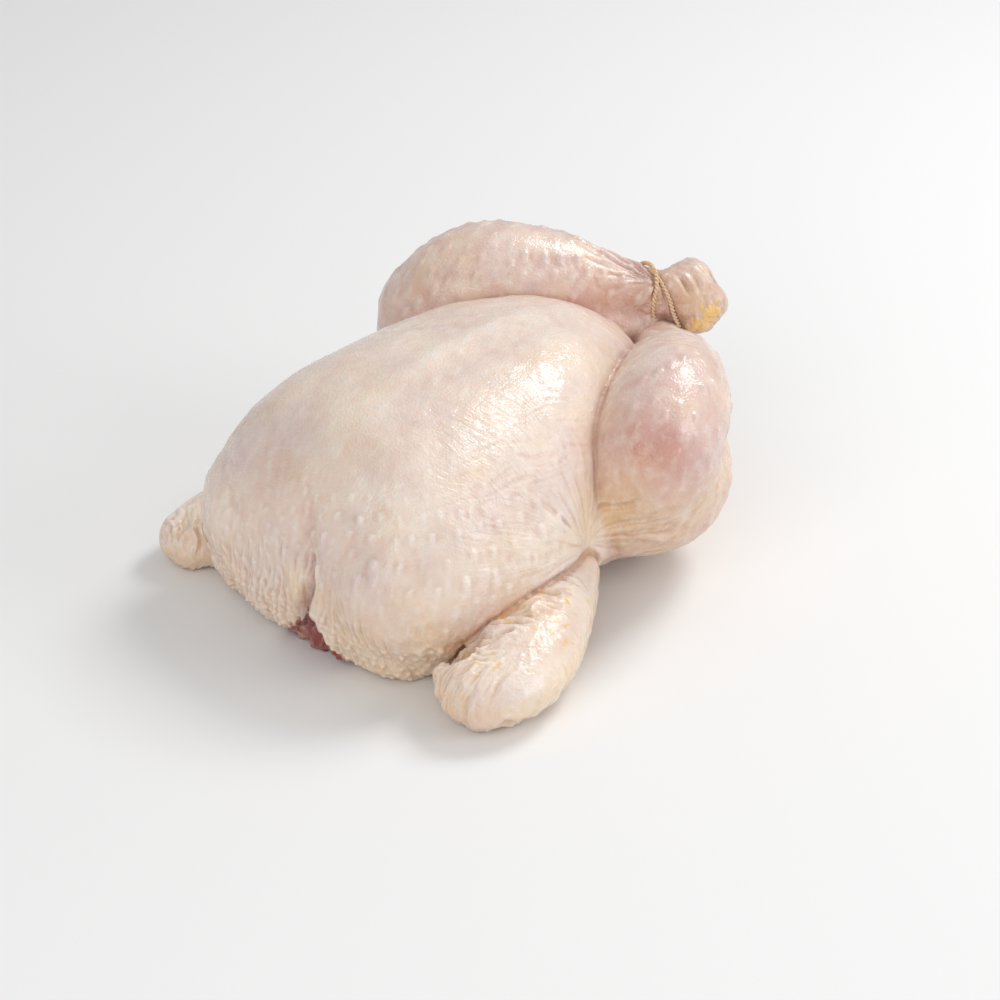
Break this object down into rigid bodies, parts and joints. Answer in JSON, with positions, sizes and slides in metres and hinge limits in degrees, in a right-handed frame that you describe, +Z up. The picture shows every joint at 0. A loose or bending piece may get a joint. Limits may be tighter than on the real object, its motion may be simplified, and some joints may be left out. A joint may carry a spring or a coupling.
{
  "type": "whole raw chicken",
  "caption": "Whole raw chicken, trussed and lying on its back: plump breast with a cleft at the neck end, wings folded flat, crossed legs tied at the ankles with twine.",
  "frame": {"origin": "bottom centre of the bird's box, on the surface it rests on", "axes": "+X from the neck end to the hocks, +Y to the bird's left side, +Z up, with the breast uppermost"},
  "size_m": [0.2244, 0.192, 0.1084],
  "materials": {
    "skin": "moist raw poultry skin, pinkish cream",
    "twine": "damp natural kitchen twine"
  },
  "bodies": {
    "root": {"chicken": "skin", "twine": "twine"}
  },
  "joints": []
}
